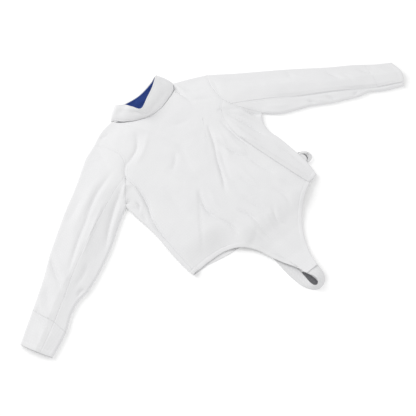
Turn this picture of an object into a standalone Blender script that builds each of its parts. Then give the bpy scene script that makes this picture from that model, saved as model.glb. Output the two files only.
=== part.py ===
"""Fencing jacket laid flat on its back, front side up: cut and sewn canvas pieces as thin walls.

Lengths in the tables are millimetres. x runs across the jacket towards the wearer's left arm,
y runs towards the collar and z up from the surface the jacket lies on. x = 0 is the middle of
the chest and y = 0 is the armpit line, until centre_on_origin moves everything to the origin.
"""
import bmesh
import bpy
import numpy as np

MM = 0.001

# Driving sizes, mm
WALL = 1.8              # quilted canvas of the panels
LINING_WALL = 0.9       # blue cloth inside the collar
WEB_WALL = 1.4          # elastic strap and webbing loop
SEAM_GAP = 1.2          # clear space between two sewn pieces, in plan
ARMPIT_GAP = 1.5        # further space in the sharp corner of the armpit
ARMPIT_REACH = 8.0      # distance over which it fades
LAP_GAP = 0.8           # clear space between a piece and what is laid on it
FOLD_RADIUS = 5.0       # rounded turn of the cloth along a side, shoulder or sleeve edge
PUFF = 12.0             # how much higher the upper layer stands away from an edge
PUFF_REACH = 55.0       # distance from the edge over which it rises
CUFF_START = 0.85       # share of the sleeve's length where the cuff band begins
UNDER_SEAM_SHARE = 0.5  # hidden sleeve seam, across the underside
UNDER_SEAM_INSET = 45.0  # side seam on the underside, from the side edge
PLAN_CENTRE = (7.4, -106.4)  # middle of the whole jacket in plan, which becomes the origin
DROOP_HEIGHT = 4.6      # of the upper layer where the hem droops at the wearer's right
DROOP_START = (-50.0, -195.0)  # x and y at which the droop begins
DROOP_REACH = 75.0      # distance over which it comes down
DROOP_FADE = 20.0       # next to a folded edge, which keeps its height
DROOP_LIMIT = -245.0    # x of the side, beyond which the sleeve keeps its own height
TONGUE_START = -262.0   # y below which the upper layer comes down to the tongue's height
TONGUE_REACH = 50.0     # distance over which it comes down
TONGUE_INSET = 20.0     # from a folded edge, which keeps its height
TONGUE_FADE = 60.0
FOLD_FADE = 20.0        # from a folded edge, over which the folds reach their depth
CUFF_BOW = {"right": 2.0, "left": 11.0}  # how far the cuff's end bows out

# Folded edges and seams, (x, y)
ARM_TOP_RIGHT = [(-205, 220), (-245, 200), (-290, 165), (-335, 130), (-385, 95), (-435, 55),
                 (-490, 10), (-530, -28), (-567, -60), (-605, -90), (-645, -122), (-673, -145)]
ARM_SEAM_RIGHT = [(-197, 75), (-250, 55), (-295, 32), (-365, -8), (-437, -52), (-502, -97),
                  (-555, -135), (-590, -160), (-645, -194)]
ARM_UNDER_RIGHT = [(-250, 0), (-285, -22), (-335, -60), (-385, -93), (-425, -115), (-470, -135),
                   (-500, -141), (-537, -160), (-570, -188), (-600, -205), (-630, -220)]
ARM_TOP_LEFT = [(212, 214), (245, 190), (293, 156), (363, 110), (432, 63), (519, 0), (597, -51),
                (645, -88), (688, -114)]
ARM_SEAM_LEFT = [(194, 75), (247, 50), (290, 25), (358, -18), (430, -60), (503, -103), (575, -147),
                 (658, -190)]
ARM_UNDER_LEFT = [(248, 0), (290, -36), (332, -55), (378, -73), (437, -106), (478, -124),
                  (515, -140), (555, -150), (590, -172), (653, -200)]
ARMHOLE_RIGHT = [(-205, 220), (-180, 178), (-169, 132), (-180, 99), (-197, 75), (-222, 40),
                 (-250, 0)]
ARMHOLE_LEFT = [(212, 214), (194, 176), (185, 135), (186, 100), (196, 70), (218, 36), (248, 0)]
SHOULDER_RIGHT = [(-205, 220), (-158, 247), (-119, 256)]
SHOULDER_LEFT = [(212, 214), (149, 240), (112, 254)]
SIDE_RIGHT = [(-232, -272), (-237, -234), (-239, -179), (-238, -131), (-241, -88), (-247, -45),
              (-250, 0)]
SIDE_LEFT = [(225, -257), (233, -204), (231, -162), (227, -99), (221, -60), (229, -28), (248, 0)]
PANEL_SEAM_RIGHT = [(-225, -270), (-227, -172), (-226, -120), (-218, -72), (-204, -30), (-196, 15),
                    (-201, 69)]
FLY_SEAM = [(186, -268), (170, -215), (159, -165), (149, -118), (140, -72), (134, -25), (137, 30),
            (153, 75), (185, 103)]
NECK_FRONT = [(-119, 256), (-96, 230), (-64, 206), (-22, 192), (18, 193), (60, 208), (94, 227),
              (112, 254)]
NECK_BACK = [(-119, 256), (-80, 245), (0, 239), (76, 244), (112, 254)]
HEM_FRONT_RIGHT = [(-225, -270), (-173, -268), (-111, -277), (-73, -305), (-54, -335), (-43, -364),
                   (-26, -401), (-12, -431), (-7, -457)]
HEM_FRONT_LEFT = [(30, -457), (39, -427), (53, -396), (76, -358), (113, -316), (146, -289),
                  (186, -268)]
HEM_BACK = [(-110, -286), (0, -290), (100, -286)]  # between the two underside seams

# The front tongue's height over the surface below the hem: (y, z)
TONGUE_HEIGHT = [(-457, 20.0), (-430, 13.0), (-395, 8.0), (-340, 8.0), (-290, 15.0)]

# Large soft folds of the upper layer. Start, end, half width and depth (a ridge is above zero).
# x0, y0, x1, y1, half_width, depth
FOLDS = [
    (-235, 105, -330, 45, 16, -4.0),
    (-330, 45, -465, -50, 16, -4.0),
    (-225, 52, -360, -60, 13, -3.0),
    (-495, -5, -520, -95, 12, -3.0),
    (-194, 15, -222, -75, 12, -3.0),
    (82, 45, 10, -135, 15, -4.0),
    (80, -15, 128, -180, 15, -3.5),
    (-70, -95, -85, -190, 13, -3.0),
    (-10, -215, -5, -335, 14, -3.5),
    (160, 40, 200, -70, 12, -3.0),
    (300, 25, 560, -140, 10, -2.5),
]

# Crotch strap, from the tongue's tip round its bend and back under the front to the back's hem:
# inner edge x, y, z and outer edge x, y, z
STRAP = [
    (-6, -459, 19.0, 30, -459, 18.5),
    (-1, -469, 21.0, 31, -470, 15.0),
    (2, -480, 21.5, 29, -484, 10.5),
    (1, -488, 21.0, 22, -497, 6.0),
    (-3, -494, 19.5, 10, -504, 3.0),
    (-8, -496, 17.5, -5, -505, 1.8),
    (-13, -492, 15.0, -18, -497, 1.2),
    (-15, -483, 12.5, -28, -484, 0.9),
    (-14, -471, 9.5, -35, -467, 0.8),
    (-12, -455, 6.5, -38, -447, 0.8),
    (-10, -435, 4.0, -40, -425, 0.8),
    (-10, -410, 2.0, -40, -400, 0.8),
    (-9, -380, 0.8, -40, -375, 0.8),
    (-8, -340, 0.8, -38, -340, 0.8),
    (-5, -292, 0.8, -35, -292, 0.8),
]

# Collar: base and top rings, corresponding points from the wearer's right tip along the front,
# round the left tip and back along the neck: base x, y, z and top x, y, z
COLLAR = [
    (-118, 259, 7, -84, 279, 38),
    (-108, 250, 12.5, -80, 272, 44),
    (-93, 232, 15, -63, 256, 48),
    (-62, 208, 19, -52, 236, 50),
    (-22, 194, 21.5, -36, 213, 51),
    (18, 195, 21.5, 2, 234, 52),
    (60, 210, 18.5, 34, 254, 51),
    (93, 229, 15, 60, 275, 50),
    (106, 247, 12.5, 71, 286, 46),
    (112, 257, 7, 75, 290, 41),
    (104, 256, 4, 69, 292, 34),
    (76, 248, 2, 50, 289, 22),
    (0, 243, 2, 0, 280, 14),
    (-80, 249, 2, -52, 278, 20),
    (-110, 257, 4, -76, 281, 31),
]

# Webbing loop at the wearer's left side: centre of the band x, y, z
SIDE_LOOP = [(233.5, -172, 7), (246, -177, 7.5), (256, -187, 8), (257, -199, 8), (248, -208, 7.5),
             (235, -211, 7)]
SIDE_LOOP_WIDTH = 11.0

# Zip fly: share of the fly seam it runs along and its width at both ends
FLY_START = 0.01
FLY_END = 0.62
FLY_WIDTH_HEM = 20.0
FLY_WIDTH_TOP = 13.0
FLY_SETBACK = 1.5       # from the seam
FLY_WALL = 1.2

# Mesh divisions
SIDE_ROWS = 11
ARMHOLE_ROWS = 11
SHOULDER_COLUMNS = 5
BACK_NECK_COLUMNS = 7
FRONT_NECK_COLUMNS = 13
SIDE_COLUMNS = {"right": (3, 4), "left": (7, 6)}
SLEEVE_ROWS = 12
SLEEVE_COLUMNS = {"upper": (6, 6), "under": (4, 6)}
CUFF_ROWS = 3
COLLAR_STEPS = 2          # columns to each row of the collar table
COLLAR_ROWS = 5
LINING_SHARES = (0.06, 0.94)  # of the collar's height
LINING_COLUMNS = (8, 15)  # columns of the collar table that the lining covers
ARMHOLE_FADE = 0.3        # share of the sleeve over which its rows straighten
PANEL_FADE = 0.6          # share of the side panel from which its rows bend to the armhole

CANVAS = ("canvas_white", (0.84, 0.84, 0.85, 1.0), 0.85)
ELASTIC = ("elastic_white", (0.82, 0.82, 0.83, 1.0), 0.75)
LINING = ("lining_blue", (0.035, 0.075, 0.30, 1.0), 0.80)


def clear_scene():
    for item in list(bpy.data.objects):
        bpy.data.objects.remove(item, do_unlink=True)


def path(points):
    """A smooth curve through the points; returns a function of the share of its length."""
    pts = np.array(points, dtype=float)
    knots = np.concatenate([[0.0], np.cumsum(np.linalg.norm(np.diff(pts, axis=0), axis=1))])
    slopes = np.gradient(pts, knots, axis=0)
    dense = []
    for i in range(len(pts) - 1):
        span = knots[i + 1] - knots[i]
        t = np.linspace(0.0, 1.0, 12, endpoint=False)[:, None]
        dense.append((2 * t**3 - 3 * t**2 + 1) * pts[i] + (t**3 - 2 * t**2 + t) * span * slopes[i]
                     + (3 * t**2 - 2 * t**3) * pts[i + 1] + (t**3 - t**2) * span * slopes[i + 1])
    dense = np.vstack(dense + [pts[-1:]])
    run = np.concatenate([[0.0], np.cumsum(np.linalg.norm(np.diff(dense, axis=0), axis=1))])
    run /= run[-1]

    def at(share):
        share = np.atleast_1d(share)
        return np.stack([np.interp(share, run, dense[:, k]) for k in range(dense.shape[1])], axis=-1)
    return at


arm_top = {"right": path(ARM_TOP_RIGHT), "left": path(ARM_TOP_LEFT)}
arm_seam = {"right": path(ARM_SEAM_RIGHT), "left": path(ARM_SEAM_LEFT)}
arm_under = {"right": path(ARM_UNDER_RIGHT), "left": path(ARM_UNDER_LEFT)}
armhole = {"right": path(ARMHOLE_RIGHT), "left": path(ARMHOLE_LEFT)}
shoulder = {"right": path(SHOULDER_RIGHT), "left": path(SHOULDER_LEFT)}
side = {"right": path(SIDE_RIGHT), "left": path(SIDE_LEFT)}
panel_seam = {"right": path(PANEL_SEAM_RIGHT), "left": path(FLY_SEAM)}
EDGES = [curve[name](np.linspace(0, 1, 60)) for curve in (arm_top, arm_under, shoulder, side)
         for name in ("right", "left")]
EDGE_FROM = np.vstack([line[:-1] for line in EDGES])
EDGE_TO = np.vstack([line[1:] for line in EDGES])


def segment_distance(xy, start, end):
    """Distance of each point from each segment, and the share along the segment nearest to it."""
    run = end - start
    share = np.sum((xy[:, None] - start) * run, axis=2) / np.sum(run * run, axis=1)
    share = np.clip(share, 0.0, 1.0)
    gap = np.linalg.norm(xy[:, None] - (start + share[..., None] * run), axis=2)
    return gap, share


def turn(distance):
    """Quarter round of a folded edge: 0 on the edge, 1 from one fold radius inwards."""
    rest = 1.0 - np.clip(distance / FOLD_RADIUS, 0.0, 1.0)
    return np.sqrt(1.0 - rest * rest)


def smooth(share):
    share = np.clip(share, 0.0, 1.0)
    return share * share * (3 - 2 * share)


def heights(xy):
    """Mid-wall heights of the upper and of the lower layer over plan points."""
    distance = segment_distance(xy, EDGE_FROM, EDGE_TO)[0].min(axis=1)
    middle = WALL / 2 + FOLD_RADIUS
    lower = middle - FOLD_RADIUS * turn(distance)
    upper = middle + FOLD_RADIUS * turn(distance) + PUFF * (1 - np.exp(-(distance / PUFF_REACH) ** 2))
    for x0, y0, x1, y1, half_width, depth in FOLDS:
        gap, share = segment_distance(xy, np.array([[x0, y0]], float), np.array([[x1, y1]], float))
        taper = np.sin(np.pi * np.clip(share[:, 0], 0.02, 0.98)) ** 0.5
        upper += depth * taper * np.exp(-(gap[:, 0] / half_width) ** 2) * np.clip(distance / FOLD_FADE, 0, 1)
    table = np.array(TONGUE_HEIGHT)
    tongue = np.interp(xy[:, 1], table[:, 0], table[:, 1])
    share = smooth((TONGUE_START - xy[:, 1]) / TONGUE_REACH) * smooth((distance - TONGUE_INSET) / TONGUE_FADE)
    upper = upper * (1 - share) + tongue * share
    droop = smooth((DROOP_START[0] - xy[:, 0]) / DROOP_REACH)
    droop *= smooth((DROOP_START[1] - xy[:, 1]) / DROOP_REACH)
    droop = np.where(xy[:, 0] > DROOP_LIMIT, droop, 0.0) * smooth((distance - FOLD_RADIUS) / DROOP_FADE)
    return upper * (1 - droop) + DROOP_HEIGHT * droop, lower


def blend_patch(left, right, bottom, top):
    """Points of a four-sided patch from its boundary rows; left and right run from bottom to top."""
    u = np.linspace(0, 1, len(bottom))[None, :, None]
    v = np.linspace(0, 1, len(left))[:, None, None]
    edges = (1 - u) * left[:, None] + u * right[:, None] + (1 - v) * bottom[None] + v * top[None]
    corners = ((1 - u) * (1 - v) * bottom[0] + u * (1 - v) * bottom[-1]
               + (1 - u) * v * top[0] + u * v * top[-1])
    return edges - corners


def raise_rows(rows, layer):
    """Adds the height of the upper (0) or lower (1) layer to plan points."""
    flat = rows.reshape(-1, 2)
    z = heights(flat)[layer]
    return np.concatenate([flat, z[:, None]], axis=1).reshape(rows.shape[:2] + (3,))


def material(spec):
    name, colour, roughness = spec
    found = bpy.data.materials.get(name)
    if found:
        return found
    made = bpy.data.materials.new(name)
    made.use_nodes = True
    shader = made.node_tree.nodes["Principled BSDF"]
    shader.inputs["Base Color"].default_value = colour
    shader.inputs["Roughness"].default_value = roughness
    shader.inputs["Metallic"].default_value = 0.0
    made.diffuse_color = colour
    return made


def wall(name, grid, thickness, spec, closed=False):
    """A cloth wall of even thickness about a grid of mid-wall points (rows, columns, xyz in mm)."""
    bm = bmesh.new()
    verts = [[bm.verts.new(point * MM) for point in row] for row in grid]
    columns = len(verts[0])
    for lower, upper in zip(verts[:-1], verts[1:]):
        for k in range(columns if closed else columns - 1):
            n = (k + 1) % columns
            bm.faces.new((lower[k], lower[n], upper[n], upper[k]))
    bmesh.ops.recalc_face_normals(bm, faces=bm.faces)
    mesh = bpy.data.meshes.new(name)
    bm.to_mesh(mesh)
    bm.free()
    mesh.shade_smooth()
    mesh.materials.append(material(spec))
    item = bpy.data.objects.new(name, mesh)
    bpy.context.collection.objects.link(item)
    solid = item.modifiers.new("wall", "SOLIDIFY")
    solid.thickness = thickness * MM
    solid.offset = 0.0
    return item


def seam_trim(grid, left=True, right=True, bottom=True, top=True):
    """Pulls the sewn borders of a grid in by half a seam gap, and more in the armpit's corner."""
    grid = grid.copy()
    sides = ((left, 0, 1, 1), (right, -1, -2, 1), (bottom, 0, 1, 0), (top, -1, -2, 0))
    for wanted, index, inner, axis in sides:
        if not wanted:
            continue
        border = np.take(grid, index, axis)
        step = np.take(grid, inner, axis) - border
        corner = np.minimum(*[np.linalg.norm(border[:, :2] - armhole[name](1.0), axis=1)
                              for name in ("right", "left")])
        amount = SEAM_GAP / 2 + ARMPIT_GAP * np.exp(-(corner / ARMPIT_REACH) ** 2)
        moved = border + step * (amount / np.linalg.norm(step, axis=1))[:, None]
        if axis:
            grid[:, index] = moved
        else:
            grid[index] = moved
    return grid


def near_edge(total, count):
    """Distances from a folded edge: the quarter round first, then even steps up to the total."""
    round_part = FOLD_RADIUS * (1 - np.cos(np.radians([0, 35, 62, 90])))
    return np.concatenate([round_part[:-1], np.linspace(FOLD_RADIUS, total, count)])


def folded_rows(edge, over, under, counts, bend_over=None, bend_under=None):
    """Rows across a folded edge: in over the upper layer, round the edge and back underneath."""
    upper = []
    lower = []
    for k, start in enumerate(edge):
        for end, count, bend, rows in ((over[k], counts[0], bend_over, upper),
                                       (under[k], counts[1], bend_under, lower)):
            reach = np.linalg.norm(end - start)
            share = near_edge(reach, count) / reach
            line = start + (end - start) * share[:, None]
            rows.append(line + bend(k, share) if bend else line)
    upper = raise_rows(np.array(upper)[:, ::-1], 0)
    lower = raise_rows(np.array(lower), 1)
    middle = (upper[:, -1:] + lower[:, :1]) / 2
    middle[..., 2] = WALL / 2 + FOLD_RADIUS
    return np.concatenate([upper[:, :-1], middle, lower[:, 1:]], axis=1)


def armhole_share(name, point):
    """Share of the armhole's length nearest to a plan point."""
    shares = np.linspace(0, 1, 400)
    return shares[np.argmin(np.linalg.norm(armhole[name](shares) - point, axis=1))]


def body_border(name, seam):
    """Side border of the front or back: up its side seam, then up the armhole to the shoulder."""
    at_panel = armhole_share(name, panel_seam[name](1.0))
    hole = armhole[name](np.linspace(at_panel, 0, ARMHOLE_ROWS))
    return np.vstack([seam, hole[1:]])


def top_border(neck, columns):
    """Top border of the front or back: right shoulder, neckline, left shoulder."""
    right = shoulder["right"](np.linspace(0, 1, SHOULDER_COLUMNS))
    left = shoulder["left"](np.linspace(1, 0, SHOULDER_COLUMNS))
    middle = path(neck)(np.linspace(0, 1, columns))
    return np.vstack([right, middle[1:-1], left])


def body_grid(left, right, bottom, top):
    """Plan grid of the front or back, with close rows along the rounded shoulder edge."""
    grid = blend_patch(left, right, bottom, top)
    last = grid[-1]
    step = grid[-2] - last
    unit = step / np.linalg.norm(step, axis=1)[:, None]
    close = [last + unit * distance for distance in near_edge(FOLD_RADIUS, 1)[:0:-1]]
    grid = np.concatenate([grid[:-1], np.array(close), grid[-1:]], axis=0)
    return seam_trim(grid, bottom=False, top=False)


def make_front():
    right_hem = path(HEM_FRONT_RIGHT)(np.linspace(0, 1, 10))
    left_hem = path(HEM_FRONT_LEFT)(np.linspace(0, 1, 10))
    tip = (right_hem[-1:] + left_hem[:1]) / 2
    bottom = np.vstack([right_hem, tip, left_hem])
    borders = [body_border(name, panel_seam[name](np.linspace(0, 1, SIDE_ROWS)))
               for name in ("right", "left")]
    top = top_border(NECK_FRONT, FRONT_NECK_COLUMNS)
    grid = raise_rows(body_grid(borders[0], borders[1], bottom, top), 0)
    grid[-1, :, 2] = np.maximum(grid[-1, :, 2], WALL / 2 + FOLD_RADIUS + SEAM_GAP / 2)
    wall("front_panel", grid, WALL, CANVAS)


def under_seam(name):
    """Underside seam between side panel and back, from the hem to the armhole."""
    inward = UNDER_SEAM_INSET if name == "right" else -UNDER_SEAM_INSET
    seam = side[name](np.linspace(0, 1, SIDE_ROWS)) + np.array([inward, 0.0])
    share = np.linspace(0, 1, SIDE_ROWS)[:, None] ** 3
    return seam * (1 - share) + panel_seam[name](1.0) * share


def make_back():
    borders = [body_border(name, under_seam(name)) for name in ("right", "left")]
    top = top_border(NECK_BACK, BACK_NECK_COLUMNS)
    bottom = path([borders[0][0]] + HEM_BACK + [borders[1][0]])(np.linspace(0, 1, len(top)))
    grid = raise_rows(body_grid(borders[0], borders[1], bottom, top), 1)
    grid[-1, :, 2] = np.minimum(grid[-1, :, 2], WALL / 2 + FOLD_RADIUS - SEAM_GAP / 2)
    wall("back_panel", grid, WALL, CANVAS)


def armhole_bend(name, start, end, fade):
    """Moves row k's straight run towards the armhole's curve between two of its shares."""
    curve = armhole[name]

    def move(k, share):
        straight = curve(start) + (curve(end) - curve(start)) * share[:, None]
        return fade[k] * (curve(start + (end - start) * share) - straight)
    return move


def make_side_panel(name):
    edge = side[name](np.linspace(0, 1, SIDE_ROWS))
    over = panel_seam[name](np.linspace(0, 1, SIDE_ROWS))
    at_panel = armhole_share(name, over[-1])
    fade = np.clip(np.linspace(0, 1, SIDE_ROWS) - PANEL_FADE, 0, 1) / (1 - PANEL_FADE)
    bend = armhole_bend(name, 1.0, at_panel, fade ** 2)
    grid = folded_rows(edge, over, under_seam(name), SIDE_COLUMNS[name], bend, bend)
    wall("side_panel_" + name, seam_trim(grid, bottom=False), WALL, CANVAS)


def sleeve_parts(name, shares):
    """Mid-wall rows of the upper and under sleeve at shares of the sleeve's length."""
    top_edge = arm_top[name](shares)
    low_edge = arm_under[name](shares)
    seam = arm_seam[name](shares)
    under = top_edge + (low_edge - top_edge) * UNDER_SEAM_SHARE
    curve = armhole[name]
    at_seam = armhole_share(name, arm_seam[name](0.0))
    fade = np.clip(1 - shares / ARMHOLE_FADE, 0, 1) ** 2
    under = under + fade[:, None] * (curve(UNDER_SEAM_SHARE) - (curve(0.0) + curve(1.0)) / 2)
    upper = folded_rows(top_edge, seam, under, SLEEVE_COLUMNS["upper"],
                        armhole_bend(name, 0.0, at_seam, fade),
                        armhole_bend(name, 0.0, UNDER_SEAM_SHARE, fade))
    lower = folded_rows(low_edge, seam, under, SLEEVE_COLUMNS["under"],
                        armhole_bend(name, 1.0, at_seam, fade),
                        armhole_bend(name, 1.0, UNDER_SEAM_SHARE, fade))
    return upper, lower


def make_sleeve(name):
    shares = np.linspace(0, CUFF_START, SLEEVE_ROWS)
    for part, rows in zip(("upper", "under"), sleeve_parts(name, shares)):
        wall("sleeve_" + name + "_" + part, seam_trim(rows), WALL, CANVAS)


def make_cuff(name):
    upper, lower = sleeve_parts(name, np.linspace(CUFF_START, 1, CUFF_ROWS))
    ring = np.concatenate([upper, lower[:, -2:0:-1]], axis=1)
    top = arm_top[name](1.0)[0]
    outward = arm_seam[name](1.0)[0] - arm_seam[name](CUFF_START)[0]
    outward /= np.linalg.norm(outward)
    from_top = np.linalg.norm(ring[-1, :, :2] - top, axis=1) / np.linalg.norm(arm_under[name](1.0)[0] - top)
    bow = CUFF_BOW[name] * np.sin(np.pi * np.clip(from_top, 0, 1))
    growth = np.linspace(0, 1, CUFF_ROWS)[:, None] ** 1.5
    ring[..., :2] += (growth * bow)[..., None] * outward
    wall("cuff_" + name, seam_trim(ring, left=False, right=False, top=False), WALL, CANVAS, closed=True)


def closed_curve(points):
    """Evenly numbered points of a closed smooth curve through the given ones."""
    pts = np.array(points, dtype=float)
    t = np.linspace(0, 1, COLLAR_STEPS, endpoint=False)[:, None]
    spans = []
    for k in range(len(pts)):
        a, b, c, d = pts[k - 1], pts[k], pts[(k + 1) % len(pts)], pts[(k + 2) % len(pts)]
        spans.append(0.5 * (2 * b + (c - a) * t + (2 * a - 5 * b + 4 * c - d) * t**2
                            + (3 * b - a - 3 * c + d) * t**3))
    return np.vstack(spans)


def collar_rows(shares):
    base = closed_curve([row[:3] for row in COLLAR])
    top = closed_curve([row[3:] for row in COLLAR])
    return np.array([base * (1 - share) + top * share for share in shares])


def make_collar():
    wall("collar", collar_rows(np.linspace(0, 1, COLLAR_ROWS)), WALL, CANVAS, closed=True)


def make_collar_lining():
    rows = collar_rows(np.linspace(*LINING_SHARES, COLLAR_ROWS))
    along = np.roll(rows, -1, axis=1) - np.roll(rows, 1, axis=1)
    across = np.gradient(rows, axis=0)
    inward = np.cross(along, across)
    inward /= np.linalg.norm(inward, axis=2, keepdims=True)
    middle = rows.mean(axis=(0, 1))
    if np.sum(inward * (middle - rows)) < 0:
        inward = -inward
    rows = rows + inward * (WALL / 2 + LAP_GAP + LINING_WALL / 2)
    first, last = LINING_COLUMNS
    wall("collar_lining", rows[:, first * COLLAR_STEPS:last * COLLAR_STEPS], LINING_WALL, LINING)


def make_strap():
    inner = np.array([row[:3] for row in STRAP], dtype=float)
    outer = np.array([row[3:] for row in STRAP], dtype=float)
    rows = [inner * (1 - across) + outer * across for across in (0.0, 0.33, 0.67, 1.0)]
    wall("crotch_strap", np.array(rows), WEB_WALL, ELASTIC)


def make_side_loop():
    line = path(SIDE_LOOP)(np.linspace(0, 1, 13))
    rows = [line + np.array([0.0, 0.0, SIDE_LOOP_WIDTH * share]) for share in (-0.5, 0.0, 0.5)]
    wall("side_loop", np.array(rows), WEB_WALL, ELASTIC)


def make_fly():
    shares = np.linspace(FLY_START, FLY_END, 16)
    seam = panel_seam["left"](shares)
    width = FLY_WIDTH_HEM + (FLY_WIDTH_TOP - FLY_WIDTH_HEM) * np.linspace(0, 1, len(shares)) ** 2
    plan = [seam + np.stack([FLY_SETBACK + (width - FLY_SETBACK) * part, 0 * width], axis=1)
            for part in (0.0, 0.5, 1.0)]
    rows = raise_rows(np.array(plan), 0)
    rows[..., 2] += WALL / 2 + LAP_GAP + FLY_WALL / 2
    wall("zip_fly", rows, FLY_WALL, CANVAS)


def centre_on_origin():
    """Moves the mesh points so that the origin is below the middle of the whole jacket."""
    for item in bpy.data.objects:
        for vertex in item.data.vertices:
            vertex.co.x -= PLAN_CENTRE[0] * MM
            vertex.co.y -= PLAN_CENTRE[1] * MM


clear_scene()
make_front()
make_back()
for side_name in ("right", "left"):
    make_side_panel(side_name)
    make_sleeve(side_name)
    make_cuff(side_name)
make_collar()
make_collar_lining()
make_strap()
make_side_loop()
make_fly()
centre_on_origin()
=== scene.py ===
import math

import bmesh
import bpy
import numpy as np
from mathutils import Matrix, Vector, noise


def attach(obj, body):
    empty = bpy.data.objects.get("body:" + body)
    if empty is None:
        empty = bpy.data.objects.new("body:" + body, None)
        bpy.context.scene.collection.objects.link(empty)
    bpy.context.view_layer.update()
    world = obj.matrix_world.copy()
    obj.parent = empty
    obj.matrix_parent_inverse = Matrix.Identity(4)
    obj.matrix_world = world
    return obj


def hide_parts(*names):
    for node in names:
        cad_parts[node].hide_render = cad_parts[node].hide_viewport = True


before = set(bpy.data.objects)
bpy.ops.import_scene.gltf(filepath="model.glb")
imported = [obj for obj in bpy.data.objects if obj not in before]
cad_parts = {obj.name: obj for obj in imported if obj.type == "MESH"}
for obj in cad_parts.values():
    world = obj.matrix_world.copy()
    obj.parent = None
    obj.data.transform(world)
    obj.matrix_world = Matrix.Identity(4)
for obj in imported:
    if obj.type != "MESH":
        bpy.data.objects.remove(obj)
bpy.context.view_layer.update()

# ---- The surface and its light -------------------------------------------------------------
# The jacket lies on a plain pale surface in a wide, soft, nearly shadowless light, a little
# stronger from behind the collar, and is seen from beyond the wearer's right hip.
MM = 0.001
SURFACE_SIZE = 8.0
SURFACE_WHITE = 0.93
SURFACE_GLOW = 0.13
SKY_STRENGTH = 0.67
VIEW_TARGET = Vector((-0.0841, -0.0358, 0.0))
VIEW_AZIMUTH = math.radians(-39.5)
VIEW_ELEVATION = math.radians(62.5)
VIEW_DISTANCE = 1.65
SOFTBOXES = {  # place, size in metres and watts
    "back_softbox": ((-1.4, 3.2, 2.7), 2.6, 85.0),
    "front_softbox": ((1.2, -2.0, 2.6), 3.0, 20.0),
}


def aim(item, place, target):
    item.location = place
    item.rotation_euler = (Vector(target) - Vector(place)).to_track_quat("-Z", "Y").to_euler()
    bpy.context.scene.collection.objects.link(item)


def new_piece(name, bm, material):
    """Turns a finished bmesh into an object of one material."""
    mesh = bpy.data.meshes.new(name)
    bm.to_mesh(mesh)
    bm.free()
    mesh.materials.append(material)
    item = bpy.data.objects.new(name, mesh)
    bpy.context.scene.collection.objects.link(item)
    return item


def surface_material():
    made = bpy.data.materials.new("pale_surface")
    made.use_nodes = True
    shader = made.node_tree.nodes["Principled BSDF"]
    shader.inputs["Base Color"].default_value = (SURFACE_WHITE, SURFACE_WHITE, SURFACE_WHITE, 1.0)
    shader.inputs["Roughness"].default_value = 0.9
    shader.inputs["Emission Color"].default_value = (1.0, 1.0, 1.0, 1.0)
    shader.inputs["Emission Strength"].default_value = SURFACE_GLOW
    return made


bm = bmesh.new()
bmesh.ops.create_grid(bm, x_segments=1, y_segments=1, size=SURFACE_SIZE / 2)
surface = new_piece("surface", bm, surface_material())

for light_name, (place, size, power) in SOFTBOXES.items():
    lamp = bpy.data.lights.new(light_name, "AREA")
    lamp.size = size
    lamp.energy = power
    aim(bpy.data.objects.new(light_name, lamp), place, (0.0, 0.0, 0.0))
sky = bpy.data.worlds.new("soft_sky")
sky.use_nodes = True
sky.node_tree.nodes["Background"].inputs["Color"].default_value = (1.0, 1.0, 1.0, 1.0)
sky.node_tree.nodes["Background"].inputs["Strength"].default_value = SKY_STRENGTH
bpy.context.scene.world = sky
bpy.context.scene.view_settings.view_transform = "Standard"

camera = bpy.data.cameras.new("camera")
camera.lens = 51.9
camera.sensor_width = 36.0
camera_item = bpy.data.objects.new("camera", camera)
level = math.cos(VIEW_ELEVATION) * VIEW_DISTANCE
aim(camera_item, VIEW_TARGET + Vector((math.sin(VIEW_AZIMUTH) * level, -math.cos(VIEW_AZIMUTH) * level,
                                       math.sin(VIEW_ELEVATION) * VIEW_DISTANCE)), VIEW_TARGET)
bpy.context.scene.camera = camera_item

# ---- Front -----------------------------------------------------------------------------------
# The front is one piece of white quilted canvas, cut down into a tongue for the crotch strap.
# It lies over the back with air under it, with turned hems and topstitching along each seam.
# Lengths here and below are millimetres in the jacket's own pattern measure: x from the middle
# of the chest towards the wearer's left arm, y from the armpit line towards the collar.
PLAN_CENTRE = np.array((7.4, -106.4, 0.0))  # the place that becomes the origin
WALL = 1.8
FOLD_RADIUS = 5.0          # of the cloth's turn along a side, shoulder or sleeve edge
PUFF = 12.0                # how much higher the upper layer stands away from an edge
PUFF_REACH = 55.0          # distance from the edge over which it rises
CREASE_FADE = 12.0         # creases reach their depth this far from a folded edge
SEAM_FADE = 4.0
SEAM_GAP = 0.3
ARMPIT_GAP = 0.8           # further gap in the armpit's sharp corner
ARMPIT_REACH = 6.0
PITCH = 4.6                # of the cloth's mesh
FINE_PITCH = 0.8 * PITCH   # across the front and the side panels
BACK_PITCH = 1.3 * PITCH
HIDDEN_PITCH = 1.4 * PITCH  # underneath
SEAM_SINK = 1.3            # how far both cloths roll down into a seam
STITCH_MARGIN = 5.5        # topstitching, from the seam or hem
STITCH_SINK = 0.45
SEAM_REACH = 1.7           # half width of the valley at a seam
STITCH_REACH = 1.3
HEM_MARGIN = 11.0
HEM_SWELL = 0.5            # of the doubled cloth in a hem
HEM_STITCH_SINK = 0.63
HEM_STITCH_REACH = 1.5
HEM_TURN = 1.4             # how far a hem's very edge turns down
HEM_TURN_REACH = 1.2
ARMHOLE = {
    "right": [(-205, 220), (-180, 178), (-169, 132), (-180, 99), (-197, 75), (-222, 40), (-250, 0)],
    "left": [(212, 214), (194, 176), (185, 135), (186, 100), (196, 70), (218, 36), (248, 0)],
}
SHOULDER = {
    "right": [(-205, 220), (-158, 247), (-119, 256)],
    "left": [(212, 214), (149, 240), (112, 254)],
}
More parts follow.
